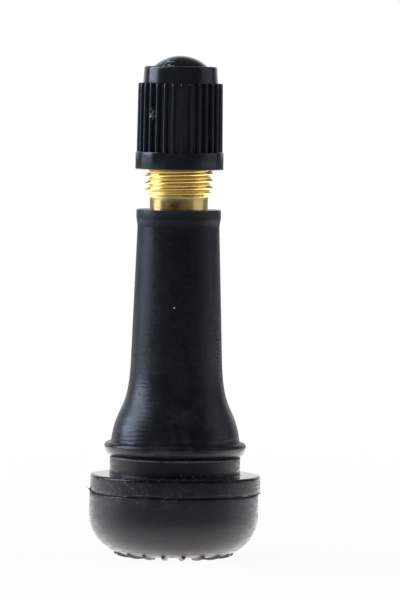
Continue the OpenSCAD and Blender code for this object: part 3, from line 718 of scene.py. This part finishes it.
def grid_mesh(name, x, y, z, looped, sharp=35):
    """A mesh from grids of millimetres, closed round the columns. If looped, the last row meets the
    first, and otherwise a face closes each end."""
    points = np.stack([x, y, z], -1)
    index = np.arange(points.shape[0] * points.shape[1]).reshape(points.shape[:2])
    low = index if looped else index[:-1]
    high = np.roll(index, -1, 0) if looped else index[1:]
    quads = np.stack([low, np.roll(low, -1, 1), np.roll(high, -1, 1), high], -1)
    faces = quads.reshape(-1, 4).tolist()
    if not looped:
        faces += [index[0, ::-1].tolist(), index[-1].tolist()]
    mesh = bpy.data.meshes.new(name)
    mesh.from_pydata((points.reshape(-1, 3) * MM).tolist(), [], faces)
    # Rows that lie on the axis shrink to one point
    build = bmesh.new()
    build.from_mesh(mesh)
    on_axis = [v for v in build.verts if v.co.xy.length < TINY]
    bmesh.ops.remove_doubles(build, verts=on_axis, dist=TINY)
    build.to_mesh(mesh)
    build.free()
    mesh.shade_smooth()
    mesh.set_sharp_from_angle(angle=math.radians(sharp))
    piece = bpy.data.objects.new(name, mesh)
    bpy.context.scene.collection.objects.link(piece)
    return piece


def dress(piece, material, body, slot, *nodes):
    """Gives a piece its material and its body, and hides the solids that it stands for. The slot is not
    used.
    """
    piece.data.materials.append(material)
    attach(piece, body)
    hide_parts(*nodes)
    triangles = sum(len(p.vertices) - 2 for p in piece.data.polygons)
    print(piece.name, "has", triangles, "triangles")


# %% [markdown]
# Rubber body
#
# The two mould halves met at the line round the base, and they met badly: the lower half sits about a
# tenth of a millimetre to one side, and thin flash was squeezed out and torn off along the line. A
# ring of low bars under the base keeps it off the table. The outline follows the solid's, with a few
# edges a tenth of a millimetre off, as they are on the worn rubber. The flash, the bars and the cut
# edge of the neck are moves of a few rows.

# %% Sizes of the rubber
stem_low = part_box("brass_stem")[0].z / MM
stem_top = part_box("brass_stem")[1].z / MM
air_hole_r = 2.5
hole_edge = 0.2
flat_z = 0.3
bar_zone = 0.8
bulb_r = 9.65
bulb_edge = 0.15
corner_r = 4.6
seam_r = 9.4
flash_w = 0.12
flash_h = 0.1
flash_lean = 0.02
disc_r = 9.7
disc_edge = 0.3
neck_r = 7.45
neck_fillet = 0.15
cut_edge = 0.1
cut_w = 0.4
slit_r = 6.65
lip_r = 8.1
lip_low = 11.56
lip_top = 13.2
lip_under_h = 1.07
lip_under_w = 0.9
shoulder_r = 7.35
flare_pull_w = 0.58
flare_pull_h = 4.5
flare_top = 22.55
sleeve_pull = 6.3
sleeve_r = 5.2
waist_r = 4.675
waist_z = 37.6
rim_low = 39.1
rim_r = 4.825
rim_pull = 0.6
rim_edge = 0.1
shank_r = 3.3
foot_r = 4.5
foot_h = 1.0
foot_cone_h = 2.2
grip_start = 9.0
grip_pitch = 2.4
grip_w = 1.1
grip_depth = 0.4
grip_count = 4
# From the end of one stretch of an outline to the first row of the next
row_gap = 0.1
print("Rubber from 0 to", round(rubber_top, 2), "mm")

# %% Outline of the rubber
def shank_outline():
    """The stem's foot, cone and grip grooves, from below, as the rubber's bore and the stem share them."""
    points = [(foot_r, stem_low), (foot_r, stem_low + foot_h)]
    points.append((shank_r, stem_low + foot_h + foot_cone_h))
    for i in range(grip_count):
        low = stem_low + grip_start + i * grip_pitch
        points.append((shank_r, low))
        points.append((shank_r - grip_depth, low + grip_depth))
        points.append((shank_r - grip_depth, low + grip_w - grip_depth))
        points.append((shank_r, low + grip_w))
    return points


flat_r = bulb_r - corner_r
corner_z = flat_z + corner_r
lip_mid = lip_low + lip_under_h
nose_r = lip_top - lip_mid
slope = (sleeve_r - waist_r) / (waist_z - flare_top)

underside = line((air_hole_r + hole_edge, flat_z), (flat_r - bar_zone, flat_z), 6)
underside += line((flat_r - bar_zone, flat_z), (flat_r, flat_z), 10)
underside += arc((flat_r, corner_z), corner_r, -90, 0, 52)
underside += line((bulb_r, corner_z + row_gap), (bulb_r, bulb_top - bulb_edge), 6)
underside += arc((bulb_r - bulb_edge, bulb_top - bulb_edge), bulb_edge, 0, 90, 4)
seam = [(seam_r, bulb_top), (seam_r, disc_low)]
flash = [(disc_r - flash_w, disc_low), (disc_r, disc_low + flash_lean),
         (disc_r - flash_lean, disc_low + flash_h)]
disc = line((disc_r, disc_low + flash_h + row_gap), (disc_r, disc_top - disc_edge), 6)
disc += arc((disc_r - disc_edge, disc_top - disc_edge), disc_edge, 0, 90, 8)
disc += line((disc_r - 2 * disc_edge, disc_top), (neck_r + neck_fillet, disc_top), 4)
neck = arc((neck_r + neck_fillet, disc_top + neck_fillet), neck_fillet, 270, 180, 5)
neck += line((neck_r, disc_top + 2 * neck_fillet), (neck_r, neck_top - cut_edge), 6)
neck_edge = arc((neck_r - cut_edge, neck_top - cut_edge), cut_edge, 0, 90, 5)
slit = [(neck_r - cut_w, neck_top), (slit_r, neck_top), (slit_r, lip_low)]
lip = oval((lip_r - lip_under_w, lip_mid), lip_under_w, lip_under_h, -90, 0, 16)
lip += arc((lip_r - nose_r, lip_mid), nose_r, 0, 90, 14)[1:]
sleeve = curve((shoulder_r, lip_top), (shoulder_r - flare_pull_w, lip_top + flare_pull_h),
               (sleeve_r + sleeve_pull * slope, flare_top - sleeve_pull), (sleeve_r, flare_top), 46)
sleeve += line((sleeve_r, flare_top), (waist_r, waist_z), 17)[1:]
rim = curve((waist_r, waist_z), (waist_r, waist_z + rim_pull),
            (rim_r, rim_low - rim_pull), (rim_r, rim_low), 12)
rim += arc((rim_r - rim_edge, rubber_top - rim_edge), rim_edge, 0, 90, 5)
bore = [(shank_r + rim_edge, rubber_top), (shank_r, rubber_top - rim_edge)] + shank_outline()[::-1]
bore += [(air_hole_r, stem_low), (air_hole_r, flat_z + hole_edge)]
rubber_outline = underside + seam + flash + disc + neck + neck_edge + slit + lip + sleeve + rim + bore
print("Rubber outline of", len(rubber_outline), "points")

# %% Ragged edges
def ragged(angles, waves, seed):
    """Seeded unevenness round the axis, between about -1 and 1, made of whole waves."""
    draw = np.random.default_rng(seed)
    total = np.zeros(len(angles))
    for count in waves:
        total += draw.normal() * np.cos(count * angles + draw.uniform(0, 2 * math.pi))
    return total / math.sqrt(len(waves))


def rows_of(part, *before):
    """The rows that a part of an outline takes, after the parts that come before it."""
    first = sum(len(p) for p in before)
    return slice(first, first + len(part))


# %% Rubber grid
RUBBER_COLUMNS = 324
turn = even_angles(RUBBER_COLUMNS)
radius, height = spread(rubber_outline, turn)
print("Rubber grid of", radius.shape, "points")

# %% Bars under the base
bar_count = 18
bar_w = 0.45
bar_edge = 0.06
bar_foot = 0.6
bar_run = 1.7


def past(level, value):
    """0 below a level, 1 above it, and a smooth rise across the rounded edge of a bar."""
    return smooth_step(level - bar_edge, level + bar_edge, value)


# The underside is pushed out along its own normal
rows = rows_of(underside)
out_r = np.maximum(radius[rows] - flat_r, 0)
down_z = height[rows] - corner_z
length = np.hypot(out_r, down_z)
from_bar = (turn + math.pi / bar_count) % (2 * math.pi / bar_count) - math.pi / bar_count
beside = np.abs(radius[rows] * np.sin(from_bar))
on_bar = (1 - past(bar_w / 2, beside)) * past(flat_r - bar_foot, radius[rows])
on_bar *= 1 - past(flat_r + bar_run, radius[rows])
on_bar[height[rows] > corner_z] = 0
radius[rows] += on_bar * flat_z * out_r / length
height[rows] += on_bar * flat_z * down_z / length
print("Bars:", bar_count)

# %% Flash and cut edge
flash_out = 0.06
flash_ragged = 0.07
flash_least = -0.05
flash_wave = 0.05
flake_turn = math.pi
flake_spread = 0.16
flake_ragged = 0.25
flake_out = 0.3
flake_up = 0.35
cut_ragged = 0.03

# One row is squeezed out of the seam, longest on the side where the halves part
tear = flash_out + flash_ragged * ragged(turn, (7, 11, 17, 23, 31, 43, 59), seed=3)
flake = np.exp(-((turn - flake_turn) / flake_spread) ** 2)
flake *= 1 + flake_ragged * ragged(turn, (19, 27, 38), seed=8)
tear += flake_out * flake
row = rows_of(flash, underside, seam).start + 1
radius[row] += np.maximum(tear, flash_least)
height[row] += flash_wave * ragged(turn, (5, 9, 14, 21), seed=5) + flake_up * flake
# The cut edge of the neck is a little uneven
rows = rows_of(neck_edge, underside, seam, flash, disc, neck)
height[rows] += cut_ragged * ragged(turn, (3, 5, 8, 13), seed=11)
print("Flash reaches", round(tear.max(), 2), "mm out")

# %% Two halves and two rubbers
LOWER_HALF_SHIFT = -0.06
DISC_SHIFT = 0.08
shift_from = 0.5
shift_full = 3

rows = rows_of(underside)
side = np.zeros_like(radius)
side[rows] = LOWER_HALF_SHIFT * smooth_step(shift_from, shift_full, height[rows])
side[rows_of(flash + disc, underside, seam)] = DISC_SHIFT
body = grid_mesh("moulded_rubber_body", radius * np.cos(turn) + side, radius * np.sin(turn), height,
                 looped=True)
dress(body, sleeve_rubber, "valve", "body_rubber", "rubber_body")
body.data.materials.append(base_rubber)
heights = np.array([face.center.z for face in body.data.polygons])
body.data.polygons.foreach_set("material_index", (heights < lip_low * MM).astype(np.int32))

# %% [markdown]
# Brass stem
#
# The outside thread has 32 threads to the inch, right-handed. A displaced texture could fake it, but
# the thread shows in the outline, so it is cut for real: the depth of the cut at a point depends on
# its height and on how far round it lies, which makes one long helix. It fades out at the shank.

# %% Thread
THREAD_PITCH = 25.4 / 32
THREAD_DEPTH = 0.36
THREAD_ROUNDING = 2.0
THREAD_START = 42.36


def thread_cut(angles, height):
    """Depth of the thread below its crest, for grids of angles and heights."""
    turns = (height - THREAD_START) / THREAD_PITCH - angles / (2 * math.pi)
    wave = (1 - np.cos(2 * math.pi * turns)) / 2
    return THREAD_DEPTH * wave ** THREAD_ROUNDING


print("Thread pitch in mm:", round(THREAD_PITCH, 3))


# %% Stem mesh
STEM_COLUMNS = 144
THREAD_ROWS = 190
thread_r = 3.8
hidden_h = 1.0
bare_h = 1.36
thread_low = rubber_top + bare_h
run_out_low = 0.05
run_out_high = 0.9
thread_chamfer = 0.45
thread_end = 0.02
mouth_r = 2.8
mouth_h = 0.8
mouth_edge = 0.1
core_bore_r = 2.65
chamber_r = 2.45
lower_bore_r = 2.08
lower_bore_edge = 0.15
barrel_top = stem_top - 6.0
seat_top = stem_top - 7.6
seat_low = stem_top - 9.1

shank = shank_outline() + line((shank_r, rubber_top - hidden_h), (shank_r, thread_low), 8)
thread = line((thread_r, thread_low), (thread_r, stem_top - thread_end), THREAD_ROWS)
stem_bore = [(thread_r - thread_chamfer, stem_top), (mouth_r + mouth_edge, stem_top),
             (mouth_r, stem_top - mouth_edge), (mouth_r, stem_top - mouth_h),
             (core_bore_r, stem_top - mouth_h), (core_bore_r, barrel_top),
             (chamber_r, barrel_top), (chamber_r, seat_top), (lower_bore_r, seat_low),
             (lower_bore_r, stem_low + lower_bore_edge), (lower_bore_r + lower_bore_edge, stem_low)]
turn = even_angles(STEM_COLUMNS)
radius, height = spread(shank + thread + stem_bore, turn)
rows = rows_of(thread, shank)
cut = radius[rows] - thread_cut(turn, height[rows])
run_out = smooth_step(thread_low - run_out_low, thread_low + run_out_high, height[rows])
chamfer = thread_r - thread_chamfer + (stem_top - height[rows])
radius[rows] = np.minimum(shank_r + (cut - shank_r) * run_out, chamfer)
stem = grid_mesh("threaded_brass_stem", radius * np.cos(turn), radius * np.sin(turn), height,
                 looped=True, sharp=50)
dress(stem, stem_brass, "valve", "stem_brass", "brass_stem")

# %% [markdown]
# Screw cap
#
# The cap has a plain collar, thirty narrow grip ribs that lean in with the draft of the mould, a
# plain band and a low dome. An array of small boxes would leave seams, so the ribs are a wave of the
# radius with extra columns on their walls. The bore has the thread that runs in the stem's grooves.

# %% Sizes of the cap
cap_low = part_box("cap_shell")[0].z / MM
cap_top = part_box("cap_shell")[1].z / MM
cap_bore_r = 3.93
cap_chamfer = 0.25
collar_h = 2.05
collar_r = 5.01
collar_edge = 0.14
valley_r = 4.36
rib_tip_r = 4.9
rib_count = 30
rib_start = math.radians(9)
rib_w = 0.4
rib_h = 7.8
rib_end = 0.2
rib_foot = 0.02
band_r = 4.258
band_h = 1.92
band_edge = 0.25
ledge_w = 1.12
dome_h = 1.19
draft = math.tan(math.radians(0.6))
band_draft = math.tan(math.radians(3))
ceiling_z = stem_top + 1.0
pocket_r = 2.2
pocket_h = 4.8
pocket_edge = 0.3
print("Cap from", round(cap_low, 2), "to", round(cap_top, 2), "mm")

# %% Cap outline
# Rows of a rib's rounded upper end, as shares of its height, from below
RIB_END_ROWS = (1, 0.7, 0.45, 0.25, 0.1, 0.02, 0)

collar_top = cap_low + collar_h
band_low = collar_top + rib_h
band_top = band_low + band_h
band_top_r = band_r - band_h * band_draft
dome_r = band_top_r - ledge_w
ball_r = (dome_r ** 2 + dome_h ** 2) / (2 * dome_h)
dome_angle = math.degrees(math.asin(dome_r / ball_r))

pocket = [(0, ceiling_z + pocket_h), (pocket_r - pocket_edge, ceiling_z + pocket_h),
          (pocket_r, ceiling_z + pocket_h - pocket_edge), (pocket_r, ceiling_z), (cap_bore_r, ceiling_z)]
cap_thread = line((cap_bore_r, stem_top + row_gap), (cap_bore_r, cap_low + cap_chamfer), 64)
mouth = [(cap_bore_r, cap_low + cap_chamfer), (cap_bore_r + cap_chamfer, cap_low)]
collar = arc((collar_r - collar_edge, cap_low + collar_edge), collar_edge, -90, 0, 5)
collar += arc((collar_r - collar_edge, collar_top - collar_edge), collar_edge, 0, 90, 5)
ribs = [(valley_r, collar_top)]
ribs += line((valley_r, collar_top + rib_foot), (valley_r, band_low - rib_end), 12)
ribs += [(valley_r, band_low - rib_end * share) for share in RIB_END_ROWS]
band = [(band_r, band_low)]
band += line((band_r, band_low + row_gap), (band_top_r, band_top - band_edge), 5)
band += arc((band_top_r - band_edge, band_top - band_edge), band_edge, 0, 90, 7)
dome = arc((0, cap_top - ball_r), ball_r, 90 - dome_angle, 90, 18)
cap_outline = pocket + cap_thread + mouth + collar + ribs + band + dome
print("Cap outline of", len(cap_outline), "points")

# %% Cap mesh
# Columns across one rib, as millimetres from its middle at the valley's radius
RIB_COLUMNS = (-0.4, -0.3, -0.235, -0.205, -0.19, -0.16, -0.12, -0.06, 0,
               0.06, 0.12, 0.16, 0.19, 0.205, 0.235, 0.3)
CAP_THREAD_DEPTH = 0.4
CREST_FROM = 0.25
thread_fade = 0.9
fade_low = 0.3
fade_high = 0.4

middles = rib_start + np.arange(rib_count) * 2 * math.pi / rib_count
turn = (middles[:, None] + np.array(RIB_COLUMNS) / valley_r).ravel()
across = np.tile(np.array(RIB_COLUMNS), rib_count)
radius, height = spread(cap_outline, turn)

# Ribs: a rounded nose on straight walls, with a rounded upper end
rows = rows_of(ribs, pocket, cap_thread, mouth, collar)
nose = rib_w / 2 - np.sqrt(np.maximum((rib_w / 2) ** 2 - across ** 2, 0))
tip = np.where(np.abs(across) < rib_w / 2, rib_tip_r - nose, valley_r)
end = np.maximum(height[rows] - (band_low - rib_end), 0)
tip = tip - (rib_end - np.sqrt(np.maximum(rib_end ** 2 - end ** 2, 0)))
lean = draft * (height[rows] - collar_top)
radius[rows] = np.maximum(tip, valley_r) - lean

# Inside thread, half a pitch from the stem's own, with its crests in the stem's grooves
rows = rows_of(cap_thread, pocket)
ridge = thread_cut(turn, height[rows]) / THREAD_DEPTH
fade = smooth_step(cap_low + fade_low, cap_low + thread_fade, height[rows])
fade *= 1 - smooth_step(stem_top - thread_fade, stem_top - fade_high, height[rows])
radius[rows] -= CAP_THREAD_DEPTH * smooth_step(CREST_FROM, 1, ridge) * fade

cap = grid_mesh("ribbed_cap", radius * np.cos(turn), radius * np.sin(turn), height, looped=False)
dress(cap, plastic, "cap", "cap_plastic", "cap_shell")

# %% [markdown]
# Spring
#
# The core's spring is drawn wire wound in six coils. It is swept along a helix with more sides than
# the solid has.

# %% Spring mesh
WIRE_SIDES = 14
RINGS_PER_COIL = 40
spring_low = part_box("core_spring")[0].z / MM
spring_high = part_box("core_spring")[1].z / MM
coil_count = 6
wire_r = 0.14
coil_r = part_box("core_spring")[1].x / MM - wire_r

wound = np.linspace(0, coil_count * 2 * math.pi, coil_count * RINGS_PER_COIL + 1)[:, None]
round_wire = -even_angles(WIRE_SIDES)
climb = (spring_high - spring_low - 2 * wire_r) / wound[-1, 0]
radius = coil_r + wire_r * np.cos(round_wire) + 0 * wound
height = spring_low + wire_r + climb * wound + wire_r * np.sin(round_wire)
spring = grid_mesh("wound_spring", radius * np.cos(wound), radius * np.sin(wound), height,
                   looped=False, sharp=80)
print("Spring from", round(spring_low, 2), "to", round(spring_high, 2), "mm")

# %% Finish of the spring and the core
dress(spring, spring_wire, "valve", "spring_steel", "core_spring")
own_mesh(spring)
core_finish = {"cap_seal": seal_rubber, "core_cup_seal": seal_rubber, "core_barrel_seal": ring_polymer,
               "core_plug": core_brass, "core_barrel": core_brass, "core_pin": core_brass,
               "core_cup": core_brass}
for name, material in core_finish.items():
    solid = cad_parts[name]
    for slot in solid.material_slots:
        slot.material = material
    print(name, "is", material.name)

# %% [markdown]
# Last settings
#
# The view transform is the plain one, so a colour shows as it is written.

bpy.context.scene.view_settings.view_transform = "Standard"
